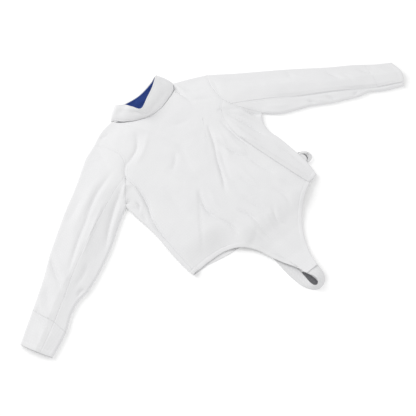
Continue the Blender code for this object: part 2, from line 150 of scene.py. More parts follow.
SIDE = {
    "right": [(-232, -272), (-237, -234), (-239, -179), (-238, -131), (-241, -88), (-247, -45), (-250, 0)],
    "left": [(225, -257), (233, -204), (231, -162), (227, -99), (221, -60), (229, -28), (248, 0)],
}
PANEL_SEAM = {
    "right": [(-225, -270), (-227, -172), (-226, -120), (-218, -72), (-204, -30), (-196, 15), (-201, 69)],
    "left": [(186, -268), (170, -215), (159, -165), (149, -118), (140, -72), (134, -25), (137, 30), (153, 75),
             (185, 103)],
}
NECK_FRONT = [(-119, 256), (-96, 230), (-64, 206), (-22, 192), (18, 193), (60, 208), (94, 227), (112, 254)]
HEM_FRONT = {
    "right": [(-225, -270), (-173, -268), (-111, -277), (-73, -305), (-54, -335), (-43, -364), (-26, -401),
              (-12, -431), (-7, -457)],
    "left": [(30, -457), (39, -427), (53, -396), (76, -358), (113, -316), (146, -289), (186, -268)],
}
CLOSE_LINES = {  # distances of the mesh's lines from a border
    "seam": [0, 0.7, 1.6, 2.8, 4.4, 5.5, 6.8, 9],
    "fold": [0, 0.3, 1.0, 2.1, 3.4, 5, 7],
    "hem": [0, 0.8, 3, 6, 8.5, 10, 11, 12, 13.5, 16],
}
TONGUE_SHARE = (0.46, 0.54)  # share of the hem taken by the tongue's tip
DROOP_HEIGHT = 4.6         # of the front where its hem droops at the wearer's right
DROOP_START = (-50.0, -195.0)  # x and y at which the droop begins
DROOP_REACH = 75.0         # distance over which it comes down
DROOP_FADE = 20.0          # next to a folded edge, which keeps its height
DROOP_LIMIT = -245.0       # x of the side, beyond which the sleeve keeps its own height
TONGUE_START = -262.0      # y below which the front comes down to the tongue's height
TONGUE_REACH = 50.0        # distance over which it comes down
TONGUE_INSET = 20.0        # from a folded edge, which keeps its height
TONGUE_FADE = 60.0
TONGUE_CREASES = 0.6       # share of the creases' depth left on the tongue
TONGUE_HEIGHT = [(-457, 20.0), (-430, 13.0), (-395, 8.0), (-340, 8.0), (-290, 15.0)]  # y, z
# Creases and soft troughs, from start through middle to end. Ridges have a depth above zero.
CREASES = [
    # x0, y0, xm, ym, x1, y1, half width, depth
    # chest and shoulders
    (-85, 172, -122, 124, -178, 98, 11, -4.2),
    (-62, 150, -105, 110, -160, 80, 15, 2.0),
    (-166, 110, -188, 90, -206, 50, 9, -3.2),
    (-40, 48, -62, 22, -88, 2, 9, -2.4),
    (104, 250, 100, 220, 102, 188, 5, -5.2),
    (114, 248, 112, 225, 116, 200, 6, 2.2),
    (101, 196, 104, 172, 110, 145, 9, -2.4),
    (125, 220, 135, 190, 165, 165, 11, -2.0),
    (110, 165, 135, 145, 168, 118, 12, -2.2),
    (-10, 150, 20, 118, 70, 112, 14, -1.6),
    (-185, 238, -172, 226, -150, 222, 7, -2.2),
    # long folds across the front
    (90, 62, 60, -5, 36, -45, 7, -4.6),
    (42, -32, 15, -90, -16, -145, 7, -4.4),
    (78, 5, 48, -58, 14, -128, 15, -2.6),
    (100, 30, 84, -25, 60, -75, 12, 2.2),
    (78, 4, 86, -55, 112, -104, 9, -5.0),
    (104, -88, 116, -140, 130, -188, 9, -4.0),
    (112, 10, 108, -60, 132, -130, 10, 2.4),
    (60, -90, 66, -150, 62, -200, 14, 1.8),
    (44, -130, 52, -165, 66, -205, 8, -2.4),
    (-66, -88, -90, -152, -84, -200, 7, -4.6),
    (-86, -188, -70, -230, -80, -278, 7, -4.4),
    (-46, -110, -62, -170, -52, -225, 13, 2.0),
    (-70, -92, -106, -143, -190, -262, 3.5, -2.4),
    (-26, -205, -8, -250, -10, -282, 7, -4.6),
    (-11, -268, -8, -325, 0, -352, 7, -4.4),
    (12, -180, 22, -226, 38, -275, 10, -3.0),
    (24, -260, 14, -310, 22, -360, 10, 2.0),
    (56, -255, 40, -300, 58, -322, 8, -3.4),
    (-18, -280, -52, -299, -84, -307, 7, -2.6),
    (92, -215, 104, -250, 96, -292, 9, -2.6),
    (120, -205, 136, -236, 150, -268, 8, -2.2),
    (-130, -20, -142, -85, -150, -150, 20, -1.8),
    (-20, 80, -25, 30, -48, -30, 20, -1.8),
    # wearer's right side and armpit
    (-194, 30, -200, -25, -222, -82, 6, -5.4),
    (-222, -78, -227, -120, -228, -160, 5, -2.6),
    (-240, 26, -218, 46, -200, 38, 6, 3.8),
    (-208, 30, -206, 0, -216, -40, 6, 2.4),
    (-252, 4, -238, 8, -224, -6, 3, -4.2),
    (-224, -4, -222, -20, -232, -36, 3, -4.0),
    (-246, -8, -238, -16, -237, -30, 3, -2.2),
    (-238, 0, -230, -10, -228, -24, 4, 2.2),
    (-228, -44, -232, -62, -240, -78, 4, -2.2),
    # wearer's left side panel
    (160, 62, 176, 14, 200, -72, 7, -6.6),
    (146, 44, 152, -20, 168, -98, 7, 3.2),
    (184, 60, 198, 20, 212, -30, 8, 2.6),
    (128, 52, 128, -15, 136, -80, 6, -4.2),
    (208, 30, 226, 10, 246, -12, 3.5, -5.0),
    (140, 84, 172, 66, 206, 40, 6, -3.4),
    (150, 70, 186, 30, 214, -40, 6, -3.2),
    (206, 44, 220, 18, 230, -8, 5, -3.8),
    (188, -90, 204, -140, 214, -200, 7, 1.8),
    (200, -120, 212, -165, 219, -235, 7, -1.6),
    # wearer's right sleeve
    (-222, 108, -300, 74, -374, 18, 12, -4.6),
    (-352, 34, -413, -9, -478, -66, 10, -4.6),
    (-290, 46, -362, -4, -428, -52, 9, 2.6),
    (-260, 120, -340, 70, -420, 18, 20, 2.2),
    (-222, 54, -285, 10, -366, -66, 10, -4.2),
    (-250, 18, -300, -20, -350, -62, 7, 2.0),
    (-494, 2, -507, -46, -518, -96, 5, -4.4),
    (-478, 10, -486, -40, -492, -84, 9, 2.0),
    (-520, -18, -530, -60, -535, -100, 11, 1.8),
    (-468, -138, -480, -126, -500, -136, 5, -3.4),
    (-596, -92, -598, -132, -600, -172, 6, -3.2),
    (-572, -66, -582, -105, -584, -140, 9, 1.8),
    (-212, 200, -214, 165, -222, 118, 9, -2.4),
    (-330, 100, -358, 82, -400, 58, 13, -1.8),
    (-540, -60, -560, -90, -572, -130, 10, -2.0),
    (-420, -70, -455, -95, -490, -108, 9, -2.0),
    (-622, -140, -632, -165, -640, -185, 8, -1.6),
    # wearer's left sleeve
    (300, 24, 395, -40, 500, -104, 8, -2.8),
    (490, -92, 565, -138, 650, -192, 6, -3.2),
    (225, 165, 320, 98, 420, 30, 20, -2.2),
    (250, 110, 350, 42, 450, -22, 20, 2.0),
    (386, -56, 392, -74, 400, -92, 5, -4.8),
    (404, -70, 414, -84, 424, -98, 7, 2.2),
    (440, -78, 446, -96, 452, -114, 7, -3.6),
    (478, -128, 500, -134, 526, -126, 5, -4.6),
    (530, -134, 540, -146, 556, -148, 6, -2.4),
    (500, -8, 510, -38, 516, -66, 8, -4.0),
    (532, -48, 538, -72, 540, -96, 7, -2.6),
    (586, -62, 596, -88, 606, -112, 7, -2.8),
    (620, -88, 636, -110, 648, -140, 9, 2.0),
    (405, 66, 407, 50, 404, 30, 8, -2.2),
    (214, 190, 200, 158, 190, 120, 8, -1.6),
    (270, 10, 300, -18, 330, -34, 9, 2.0),
]
CREASE_DEPTH = 1.25        # scales every depth in the table
CREASE_CORE_SHARE = 0.42   # of the half width, taken by a crease's sharp middle
CREASE_CORE = 3.6          # its least half width
WAVE_BANDS = 20.0          # of a wave texture to one unit, at scale 1
ROLL = [  # of the canvas: wavelength and height
    (105.0, 1.3),
    (48.0, 0.9),
    (27.0, 0.5),
    (16.0, 0.25),
]


def run_length(points):
    """Length along a line of points, from its start to each of them."""
    return np.concatenate([[0.0], np.cumsum(np.linalg.norm(np.diff(points, axis=0), axis=1))])


def path(points):
    """A smooth curve through the points; returns a function of the share of its length."""
    pts = np.array(points, dtype=float)
    knots = run_length(pts)
    slopes = np.gradient(pts, knots, axis=0)
    dense = []
    for i in range(len(pts) - 1):
        span = knots[i + 1] - knots[i]
        t = np.linspace(0.0, 1.0, 12, endpoint=False)[:, None]
        dense.append((2 * t**3 - 3 * t**2 + 1) * pts[i] + (t**3 - 2 * t**2 + t) * span * slopes[i]
                     + (3 * t**2 - 2 * t**3) * pts[i + 1] + (t**3 - t**2) * span * slopes[i + 1])
    dense = np.vstack(dense + [pts[-1:]])
    run = run_length(dense)
    run /= run[-1]

    def at(share):
        share = np.atleast_1d(share)
        return np.stack([np.interp(share, run, dense[:, k]) for k in range(dense.shape[1])], axis=-1)
    return at


def both(table):
    """Smooth curves of a table that names one for the wearer's right and one for the left."""
    return {name: path(points) for name, points in table.items()}


def from_lines(xy, lines, steps=48):
    """Distance of each plan point from the nearest of some curves, and the share along it."""
    best = np.full(len(xy), 1e9)
    where = np.zeros(len(xy))
    for line in lines:
        points = line(np.linspace(0, 1, steps))
        start = points[:-1]
        run = points[1:] - start
        part = np.sum((xy[:, None] - start) * run, axis=2) / np.sum(run * run, axis=1)
        part = np.clip(part, 0.0, 1.0)
        gap = np.linalg.norm(xy[:, None] - (start + part[..., None] * run), axis=2)
        nearest = gap.argmin(axis=1)
        rows = np.arange(len(xy))
        closer = gap[rows, nearest] < best
        best = np.where(closer, gap[rows, nearest], best)
        where = np.where(closer, (nearest + part[rows, nearest]) / (steps - 1), where)
    return best, where


def near(xy, line, reach):
    """Which plan points lie in a line's own box, widened by a reach."""
    points = line(np.linspace(0, 1, 12))
    return np.all((xy > points.min(axis=0) - reach) & (xy < points.max(axis=0) + reach), axis=1)


def bell(distance, reach):
    return np.exp(-(distance / reach) ** 2)


def crease_height(xy):
    """Sum of the troughs and ridges over plan points: a sharp middle with soft shoulders."""
    total = np.zeros(len(xy))
    for x0, y0, xm, ym, x1, y1, half_width, depth in CREASES:
        line = path([(x0, y0), (xm, ym), (x1, y1)])
        chosen = near(xy, line, 3 * half_width)
        gap, share = from_lines(xy[chosen], [line], 12)
        taper = np.sin(np.pi * np.clip(share, 0.01, 0.99)) ** 0.7
        taper *= np.exp(-(np.linalg.norm(xy[chosen] - line(share), axis=1) / (2.5 * half_width)) ** 4)
        core = max(CREASE_CORE_SHARE * half_width, CREASE_CORE)
        profile = (bell(gap, half_width) + bell(gap, core)) / 2
        total[chosen] += CREASE_DEPTH * depth * taper * profile
    return total


def roll_height(xy):
    """Soft, uneven undulation over plan points."""
    total = np.zeros(len(xy))
    for wavelength, height in ROLL:
        total += [height * noise.noise(Vector((x / wavelength, y / wavelength, wavelength))) for x, y in xy]
    return total


def quarter_turn(distance):
    """Quarter round of a folded edge: 0 on the edge, 1 from one fold radius inwards."""
    rest = 1.0 - np.clip(distance / FOLD_RADIUS, 0.0, 1.0)
    return np.sqrt(1.0 - rest * rest)


def seam_sink(xy):
    """How far the cloth sinks at seams, along topstitching and at hem edges."""
    sink = np.zeros(len(xy))
    for line, first, last in seams:
        chosen = near(xy, line, 2 * STITCH_MARGIN)
        gap, share = from_lines(xy[chosen], [line])
        strength = first + (last - first) * share
        sink[chosen] += strength * (SEAM_SINK * bell(gap, SEAM_REACH)
                                    + STITCH_SINK * bell(gap - STITCH_MARGIN, STITCH_REACH))
    for line in hems:
        chosen = near(xy, line, 2 * HEM_MARGIN)
        gap = from_lines(xy[chosen], [line])[0]
        sink[chosen] += (HEM_STITCH_SINK * bell(gap - HEM_MARGIN, HEM_STITCH_REACH)
                         - HEM_SWELL * (gap < HEM_MARGIN) + HEM_TURN * np.exp(-gap / HEM_TURN_REACH))
    return sink


def smooth(share):
    share = np.clip(share, 0.0, 1.0)
    return share * share * (3 - 2 * share)


def lay(xy):
    """Mid-wall heights of the upper and lower layer over plan points between folded edges."""
    distance = from_lines(xy, edges, 60)[0]
    middle = WALL / 2 + FOLD_RADIUS
    lower = middle - FOLD_RADIUS * quarter_turn(distance)
    upper = middle + FOLD_RADIUS * quarter_turn(distance) + PUFF * (1 - np.exp(-(distance / PUFF_REACH) ** 2))
    waves = crease_height(xy) + roll_height(xy)
    upper += waves * smooth(distance / CREASE_FADE)
    table = np.array(TONGUE_HEIGHT)
    tongue = np.interp(xy[:, 1], table[:, 0], table[:, 1]) + TONGUE_CREASES * waves
    share = smooth((TONGUE_START - xy[:, 1]) / TONGUE_REACH) * smooth((distance - TONGUE_INSET) / TONGUE_FADE)
    share = np.where(np.abs(xy[:, 0]) < -DROOP_LIMIT, share, 0.0)
    upper = upper * (1 - share) + tongue * share
    droop = smooth((DROOP_START[0] - xy[:, 0]) / DROOP_REACH)
    droop *= smooth((DROOP_START[1] - xy[:, 1]) / DROOP_REACH)
    droop = np.where(xy[:, 0] > DROOP_LIMIT, droop, 0.0) * smooth((distance - FOLD_RADIUS) / DROOP_FADE)
    upper = upper * (1 - droop) + DROOP_HEIGHT * droop
    return upper - seam_sink(xy) * np.clip(distance / SEAM_FADE, 0, 1), lower


def raised(plan, layer, lift=0.0):
    """A grid over plan points at the height of the upper (0) or the lower (1) layer."""
    flat = plan.reshape(-1, 2)
    z = lay(flat)[layer] + lift
    return np.concatenate([flat, z[:, None]], axis=1).reshape(plan.shape[:2] + (3,))


def close_shares(length, pitch, first, last):
    """Shares for mesh lines over a length, close together at a seam or folded end."""
    start = np.array(CLOSE_LINES[first], float)
    end = length - np.array(CLOSE_LINES[last], float)[::-1]
    count = max(2, int(round((end[0] - start[-1]) / pitch)))
    return np.concatenate([start[:-1], np.linspace(start[-1], end[0], count), end[1:]]) / length


def trim(grid, borders=(True, True, True, True)):
    """Pulls the left, right, first and last borders of a grid in by half a seam gap."""
    grid = grid.copy()
    for wanted, index, inner, axis in zip(borders, (0, -1, 0, -1), (1, -2, 1, -2), (1, 1, 0, 0)):
        if not wanted:
            continue
        border = np.take(grid, index, axis)
        step = np.take(grid, inner, axis) - border
        corner = np.min([np.linalg.norm(border[:, :2] - point, axis=1) for point in armpits], axis=0)
        amount = SEAM_GAP / 2 + ARMPIT_GAP * np.exp(-(corner / ARMPIT_REACH) ** 2)
        length = np.linalg.norm(step, axis=1)
        # a border never reaches the mesh's next line
        moved = border + step * (np.minimum(amount, 0.8 * length) / length)[:, None]
        if axis:
            grid[:, index] = moved
        else:
            grid[index] = moved
    return grid


def canvas_bump(nodes, links, coordinates, thread_mm, depth_mm):
    """Plain weave: two crossed sets of bands, over a faint uneven quilting."""
    waves = []
    for direction in ("X", "Y"):
        wave = nodes.new("ShaderNodeTexWave")
        wave.bands_direction = direction
        wave.inputs["Scale"].default_value = 1.0 / (WAVE_BANDS * thread_mm * MM)
        wave.inputs["Distortion"].default_value = 0.4
        wave.inputs["Detail"].default_value = 1.0
        links.new(coordinates, wave.inputs["Vector"])
        waves.append(wave.outputs["Fac"])
    weave = nodes.new("ShaderNodeMath")
    weave.operation = "MULTIPLY"
    links.new(waves[0], weave.inputs[0])
    links.new(waves[1], weave.inputs[1])
    quilt = nodes.new("ShaderNodeTexNoise")
    quilt.inputs["Scale"].default_value = 90.0
    quilt.inputs["Detail"].default_value = 3.0
    links.new(coordinates, quilt.inputs["Vector"])
    height = nodes.new("ShaderNodeMath")
    height.operation = "MULTIPLY_ADD"
    height.inputs[1].default_value = 0.6
    links.new(quilt.outputs["Fac"], height.inputs[0])
    links.new(weave.outputs[0], height.inputs[2])
    bump = nodes.new("ShaderNodeBump")
    bump.inputs["Strength"].default_value = 0.55
    bump.inputs["Distance"].default_value = depth_mm * MM
    links.new(height.outputs[0], bump.inputs["Height"])
    return bump.outputs["Normal"], weave.outputs[0]


def cloth_material(name, light, dark, thread_mm=1.1, depth_mm=0.25, roughness=0.86, sheen=0.12):
    """Woven cloth on the piece's own UV map: weave bump, darker gaps and slight uneven colour."""
    made = bpy.data.materials.new(name)
    made.use_nodes = True
    nodes = made.node_tree.nodes
    links = made.node_tree.links
    shader = nodes["Principled BSDF"]
    shader.inputs["Roughness"].default_value = roughness
    shader.inputs["Sheen Weight"].default_value = sheen
    shader.inputs["Sheen Roughness"].default_value = 0.5
    shader.inputs["Specular IOR Level"].default_value = 0.25
    uv = nodes.new("ShaderNodeUVMap")
    uv.uv_map = "cut"
    normal, weave = canvas_bump(nodes, links, uv.outputs["UV"], thread_mm, depth_mm)
    links.new(normal, shader.inputs["Normal"])
    cloudy = nodes.new("ShaderNodeTexNoise")
    cloudy.inputs["Scale"].default_value = 9.0
    cloudy.inputs["Detail"].default_value = 4.0
    links.new(uv.outputs["UV"], cloudy.inputs["Vector"])
    weave_and_cloud = nodes.new("ShaderNodeMath")
    weave_and_cloud.operation = "MULTIPLY_ADD"
    weave_and_cloud.inputs[1].default_value = 0.35
    links.new(weave, weave_and_cloud.inputs[0])
    links.new(cloudy.outputs["Fac"], weave_and_cloud.inputs[2])
    ramp = nodes.new("ShaderNodeValToRGB")
    ramp.color_ramp.elements[0].position = 0.25
    ramp.color_ramp.elements[0].color = dark
    ramp.color_ramp.elements[1].position = 0.85
    ramp.color_ramp.elements[1].color = light
    links.new(weave_and_cloud.outputs[0], ramp.inputs["Fac"])
    links.new(ramp.outputs["Color"], shader.inputs["Base Color"])
    return made


canvas = cloth_material("white_canvas", (0.82, 0.82, 0.825, 1.0), (0.785, 0.785, 0.795, 1.0))
thread = cloth_material("white_thread", (0.81, 0.81, 0.815, 1.0), (0.70, 0.70, 0.71, 1.0),
                        thread_mm=0.3, depth_mm=0.05)


def cut_lengths(grid, axis):
    """Length of cloth along each line of a grid, from the line's start."""
    steps = np.cumsum(np.linalg.norm(np.diff(grid, axis=axis), axis=2), axis=axis)
    return np.concatenate([np.zeros_like(np.take(steps, [0], axis)), steps], axis=axis)


def cloth(name, grid, material, wall=WALL, ring=False):
    """A cloth piece about a grid of mid-wall points, with its cut lengths as UV map."""
    full = np.concatenate([grid, grid[:, :1]], axis=1) if ring else grid
    across = cut_lengths(full, 1)
    across -= across[:, -1:] / 2
    along = cut_lengths(full, 0)
    last_row, last_column = full.shape[0] - 1, full.shape[1] - 1
    bm = bmesh.new()
    bmesh.ops.create_grid(bm, x_segments=last_column, y_segments=last_row, size=1.0)
    cut = bm.loops.layers.uv.new("cut")
    place = {}
    for vertex in bm.verts:
        place[vertex] = (int(round((vertex.co.y + 1) / 2 * last_row)),
                         int(round((vertex.co.x + 1) / 2 * last_column)))
    for face in bm.faces:
        for loop in face.loops:
            at = place[loop.vert]
            loop[cut].uv = (across[at] * MM, along[at] * MM)
    for vertex, at in place.items():
        vertex.co = Vector((full[at] - PLAN_CENTRE) * MM)
    if ring:
        bmesh.ops.remove_doubles(bm, verts=bm.verts, dist=0.01 * MM)
    bmesh.ops.recalc_face_normals(bm, faces=bm.faces)
    item = new_piece(name, bm, material)
    item.data.shade_smooth()
    thick = item.modifiers.new("wall", "SOLIDIFY")
    thick.thickness = wall * MM
    thick.offset = 0.0
    return item


def stitches(name, runs, pitch=3.4, length=2.3, width=0.55, height=0.4):
    """Short raised stitches along some lines of points that lie on the cloth."""
    bm = bmesh.new()
    for run in runs:
        run = np.array(run, dtype=float)
        reach = run_length(run)
        for at in np.arange(pitch / 2, reach[-1] - pitch / 2, pitch):
            ends = [np.array([np.interp(s, reach, run[:, k]) for k in range(3)]) for s in
                    (at - length / 2, at + length / 2)]
            middle = (ends[0] + ends[1]) / 2 - PLAN_CENTRE
            turned = Vector(ends[1] - ends[0]).to_track_quat("X", "Z").to_matrix().to_4x4()
            size = Matrix.Diagonal((length * MM, width * MM, height * MM, 1.0))
            place = Matrix.Translation(Vector(middle * MM))
            bmesh.ops.create_cube(bm, size=1.0, matrix=place @ turned @ size)
    cut = bm.loops.layers.uv.new("cut")
    for face in bm.faces:
        for loop in face.loops:
            loop[cut].uv = loop.vert.co.xy
    item = new_piece(name, bm, thread)
    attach(item, "root")
    return item


armhole = both(ARMHOLE)
shoulder = both(SHOULDER)
side = both(SIDE)
panel_seam = both(PANEL_SEAM)
hem_front = both(HEM_FRONT)
neck_front = path(NECK_FRONT)
armpits = [armhole[name](1.0)[0] for name in ("right", "left")]
ARM_TOP = {
    "right": [(-205, 220), (-245, 200), (-290, 165), (-335, 130), (-385, 95), (-435, 55), (-490, 10),
              (-530, -28), (-567, -60), (-605, -90), (-645, -122), (-673, -145)],
    "left": [(212, 214), (245, 190), (293, 156), (363, 110), (432, 63), (519, 0), (597, -51), (645, -88),
             (688, -114)],
}
ARM_SEAM = {
    "right": [(-197, 75), (-250, 55), (-295, 32), (-365, -8), (-437, -52), (-502, -97), (-555, -135),
              (-590, -160), (-645, -194)],
    "left": [(194, 75), (247, 50), (290, 25), (358, -18), (430, -60), (503, -103), (575, -147), (658, -190)],
}
ARM_UNDER = {
    "right": [(-250, 0), (-285, -22), (-335, -60), (-385, -93), (-425, -115), (-470, -135), (-500, -141),
              (-537, -160), (-570, -188), (-600, -205), (-630, -220)],
    "left": [(248, 0), (290, -36), (332, -55), (378, -73), (437, -106), (478, -124), (515, -140),
             (555, -150), (590, -172), (653, -200)],
}
CUFF_START = 0.85
arm_top = both(ARM_TOP)
arm_seam = both(ARM_SEAM)
arm_under = both(ARM_UNDER)
cuff_seam = {}
cuff_end = {}
for name in ("right", "left"):
    cuff_seam[name], cuff_end[name] = (path([line[name](share)[0] for line in (arm_top, arm_seam, arm_under)])
                                       for share in (CUFF_START, 1.0))
edges = [line[name] for line in (arm_top, arm_under, shoulder, side) for name in ("right", "left")]
seams = [  # line, and how deep it draws in at its first and last point
    (panel_seam["right"], 1.2, 1.5),
    (panel_seam["left"], 0.45, 0.3),
    (armhole["right"], 0.25, 0.35),
    (armhole["left"], 0.4, 3.4),
    (arm_seam["right"], 0.25, 0.6),
    (arm_seam["left"], 1.6, 3.8),
    (cuff_seam["right"], 0.08, 0.15),
    (cuff_seam["left"], 0.15, 0.15),
    (neck_front, 0.6, 0.4),
]
hems = [hem_front["right"], hem_front["left"], path([panel_seam["right"](0.0)[0], side["right"](0.0)[0]]),
        path([panel_seam["left"](0.0)[0], side["left"](0.0)[0]]), cuff_end["right"], cuff_end["left"]]


def armhole_share(name, point):
    """Share of the armhole's length nearest to a plan point."""
    shares = np.linspace(0, 1, 800)
    return shares[np.argmin(np.linalg.norm(armhole[name](shares) - point, axis=1))]


def body_border(name, seam, shares, seam_share):
    """Side border of the front or back: up its side seam, then up the armhole to the shoulder."""
    at_panel = armhole_share(name, panel_seam[name](1.0))
    low = seam(np.clip(shares / seam_share, 0, 1))
    high = armhole[name](at_panel * (1 - np.clip((shares - seam_share) / (1 - seam_share), 0, 1)))
    return np.where((shares < seam_share)[:, None], low, high)


def joined(lines, stops):
    """One border function out of several curves, each over its stretch of the shares."""
    def at(shares):
        points = np.zeros((len(shares), 2))
        for line, start, stop in zip(lines, stops[:-1], stops[1:]):
            chosen = (shares >= start) & (shares <= stop)
            points[chosen] = line(np.clip((shares[chosen] - start) / (stop - start), 0, 1))
        return points
    return at


def four_sided(left, right, bottom, top, u, v):
    """Plan points of a four-sided patch from its borders, at shares u across and v upwards."""
    uu = u[None, :, None]
    vv = v[:, None, None]
    borders = (1 - uu) * left[:, None] + uu * right[:, None] + (1 - vv) * bottom[None] + vv * top[None]
    corners = ((1 - uu) * (1 - vv) * bottom[0] + uu * (1 - vv) * bottom[-1]
               + (1 - uu) * vv * top[0] + uu * vv * top[-1])
    return borders - corners


def flip(line):
    return lambda shares: line(1 - np.asarray(shares))


BODY_LENGTH = 620.0
BODY_WIDTH = 430.0
SIDE_SHARE = 0.58   # of the front's side border that is side seam; the rest is armhole
NECK_SHARE = (0.2, 0.79)
tip_line = path([HEM_FRONT["right"][-1], HEM_FRONT["left"][0]])
front_hem = [hem_front["right"], tip_line, hem_front["left"]]
hem_line = joined(front_hem, (0, TONGUE_SHARE[0], TONGUE_SHARE[1], 1))
front_top = [shoulder["right"], neck_front, flip(shoulder["left"])]
top_line = joined(front_top, (0, NECK_SHARE[0], NECK_SHARE[1], 1))
u = close_shares(BODY_WIDTH, FINE_PITCH, "seam", "seam")
v = close_shares(BODY_LENGTH, PITCH, "hem", "fold")
plan = four_sided(body_border("right", panel_seam["right"], v, SIDE_SHARE),
                  body_border("left", panel_seam["left"], v, SIDE_SHARE), hem_line(u), top_line(u), u, v)
plan = trim(plan, (True, True, False, False))
front_grid = raised(plan, 0)
front_grid[-1, :, 2] = np.maximum(front_grid[-1, :, 2], WALL / 2 + FOLD_RADIUS + SEAM_GAP / 2)
front = cloth("front_cloth", front_grid, canvas)
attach(front, "root")
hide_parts("front_panel")


def beside(line, offset, first=0.0, last=1.0, count=120):
    """Plan points at an even distance to the right of a curve's direction."""
    points = line(np.linspace(first, last, count))
    run = np.gradient(points, axis=0)
    run /= np.linalg.norm(run, axis=1)[:, None]
    return points + offset * np.stack([run[:, 1], -run[:, 0]], axis=1)


def on_cloth(points):
    z = lay(points)[0]
    return np.concatenate([points, z[:, None] + WALL / 2], axis=1)


front_at_panel = {name: armhole_share(name, panel_seam[name](1.0)) for name in ("right", "left")}
front_runs = [
    on_cloth(beside(panel_seam["right"], STITCH_MARGIN, 0.02, 0.98)),
    on_cloth(beside(panel_seam["left"], -STITCH_MARGIN, 0.02, 0.97)),
    on_cloth(beside(armhole["right"], -STITCH_MARGIN, 0.03, front_at_panel["right"] - 0.02)),
    on_cloth(beside(armhole["left"], STITCH_MARGIN, 0.03, front_at_panel["left"] - 0.02)),
    on_cloth(beside(hem_front["right"], -HEM_MARGIN, 0.03, 0.99)),
    on_cloth(beside(hem_front["left"], -HEM_MARGIN, 0.01, 0.97)),
    on_cloth(beside(neck_front, STITCH_MARGIN, 0.05, 0.95)),
]
stitches("front_stitches", front_runs)

# ---- Back ------------------------------------------------------------------------------------
# The back is one piece of the same canvas, flat on the surface, with a turned hem that shows
# below the front's at the wearer's right. It meets the front at the shoulder edges.
UNDER_SEAM_INSET = 45.0
NECK_BACK = [(-119, 256), (-80, 245), (0, 239), (76, 244), (112, 254)]
HEM_BACK = [(-110, -286), (0, -290), (100, -286)]  # between the two underside seams


def under_seam(name):
    """Underside seam between side panel and back, from the hem to the armhole."""
    inward = UNDER_SEAM_INSET if name == "right" else -UNDER_SEAM_INSET
    shares = np.linspace(0, 1, 24)
    seam = side[name](shares) + np.array([inward, 0.0])
    slide = shares[:, None] ** 3
    return path(seam * (1 - slide) + panel_seam[name](1.0) * slide)


under = {name: under_seam(name) for name in ("right", "left")}
hem_back = path([under["right"](0.0)[0]] + HEM_BACK + [under["left"](0.0)[0]])
neck_back = path(NECK_BACK)
back_top = joined([shoulder["right"], neck_back, flip(shoulder["left"])],
                  (0, NECK_SHARE[0], NECK_SHARE[1], 1))
u = close_shares(BODY_WIDTH, BACK_PITCH, "seam", "seam")
v = close_shares(BODY_LENGTH, BACK_PITCH, "hem", "fold")
plan = four_sided(body_border("right", under["right"], v, SIDE_SHARE),
                  body_border("left", under["left"], v, SIDE_SHARE), hem_back(u), back_top(u), u, v)
plan = trim(plan, (True, True, False, False))
back_grid = raised(plan, 1)
back_grid[-1, :, 2] = np.minimum(back_grid[-1, :, 2], WALL / 2 + FOLD_RADIUS - SEAM_GAP / 2)
back = cloth("back_cloth", back_grid, canvas)
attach(back, "root")
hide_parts("back_panel")
back_hem_run = beside(hem_back, -HEM_MARGIN, 0.02, 0.98)
stitches("back_hem_stitches", [np.concatenate([back_hem_run, np.full((len(back_hem_run), 1), WALL)], axis=1)])

# ---- Side panels -----------------------------------------------------------------------------
# Narrow canvas panels wrap each side from a seam on the front to a seam underneath. The one at
# the wearer's left is wide and lies behind the zip. Both end at the armhole.
PANEL_FADE = 0.6
PANEL_REACH = {"right": 34.0, "left": 70.0}
PANEL_LENGTH = 275.0


def near_edge(total, pitch):
    """Distances inwards from a folded edge: close round the turn, then even."""
    close = FOLD_RADIUS * (1 - np.cos(np.radians([0, 18, 36, 54, 72, 90])))
    count = max(3, int(round((total - FOLD_RADIUS) / pitch)))
    far = np.linspace(FOLD_RADIUS, total - 8.0, count)
    return np.concatenate([close[:-1], far, total - np.array([5.6, 4.4, 2.8, 1.6, 0.7, 0.0])]) / total


def folded_plan(edge, over, under_line, shares, bend_over=None, bend_under=None):
    """Plan rows in from a seam on top to the folded edge, and on to a seam underneath."""
    plans = []
    for end, part, bend in ((over, shares[0][::-1], bend_over), (under_line, shares[1], bend_under)):
        rows = []
        for k, start in enumerate(edge):
            line = start + (end[k] - start) * part[:, None]
            rows.append(line + bend(k, part) if bend else line)
        plans.append(np.array(rows))
    return plans


def folded_grid(plans):
    """Gives the two plan halves their heights and joins them round the folded edge."""
    halves = [raised(plan, layer) for layer, plan in enumerate(plans)]
    middle = (halves[0][:, -1:] + halves[1][:, :1]) / 2
    middle[..., 2] = WALL / 2 + FOLD_RADIUS
    return np.concatenate([halves[0][:, :-1], middle, halves[1][:, 1:]], axis=1)


def armhole_bend(name, start, end, fade):
    """Moves row k's straight run towards the armhole's curve between two of its shares."""
    curve = armhole[name]

    def move(k, share):
        straight = curve(start) + (curve(end) - curve(start)) * share[:, None]
        return fade[k] * (curve(start + (end - start) * share) - straight)
    return move


for name in ("right", "left"):
    rows = close_shares(PANEL_LENGTH, PITCH, "hem", "seam")
    at_panel = front_at_panel[name]
    fade = (np.clip(rows - PANEL_FADE, 0, 1) / (1 - PANEL_FADE)) ** 2
    bend = armhole_bend(name, 1.0, at_panel, fade)
    parts = (near_edge(PANEL_REACH[name], FINE_PITCH), near_edge(UNDER_SEAM_INSET, HIDDEN_PITCH))
    plans = folded_plan(side[name](rows), panel_seam[name](rows), under[name](rows), parts, bend, bend)
    grid = trim(folded_grid(plans), (True, True, False, True))
    panel = cloth("side_cloth_" + name, grid, canvas)
    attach(panel, "root")
    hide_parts("side_panel_" + name)

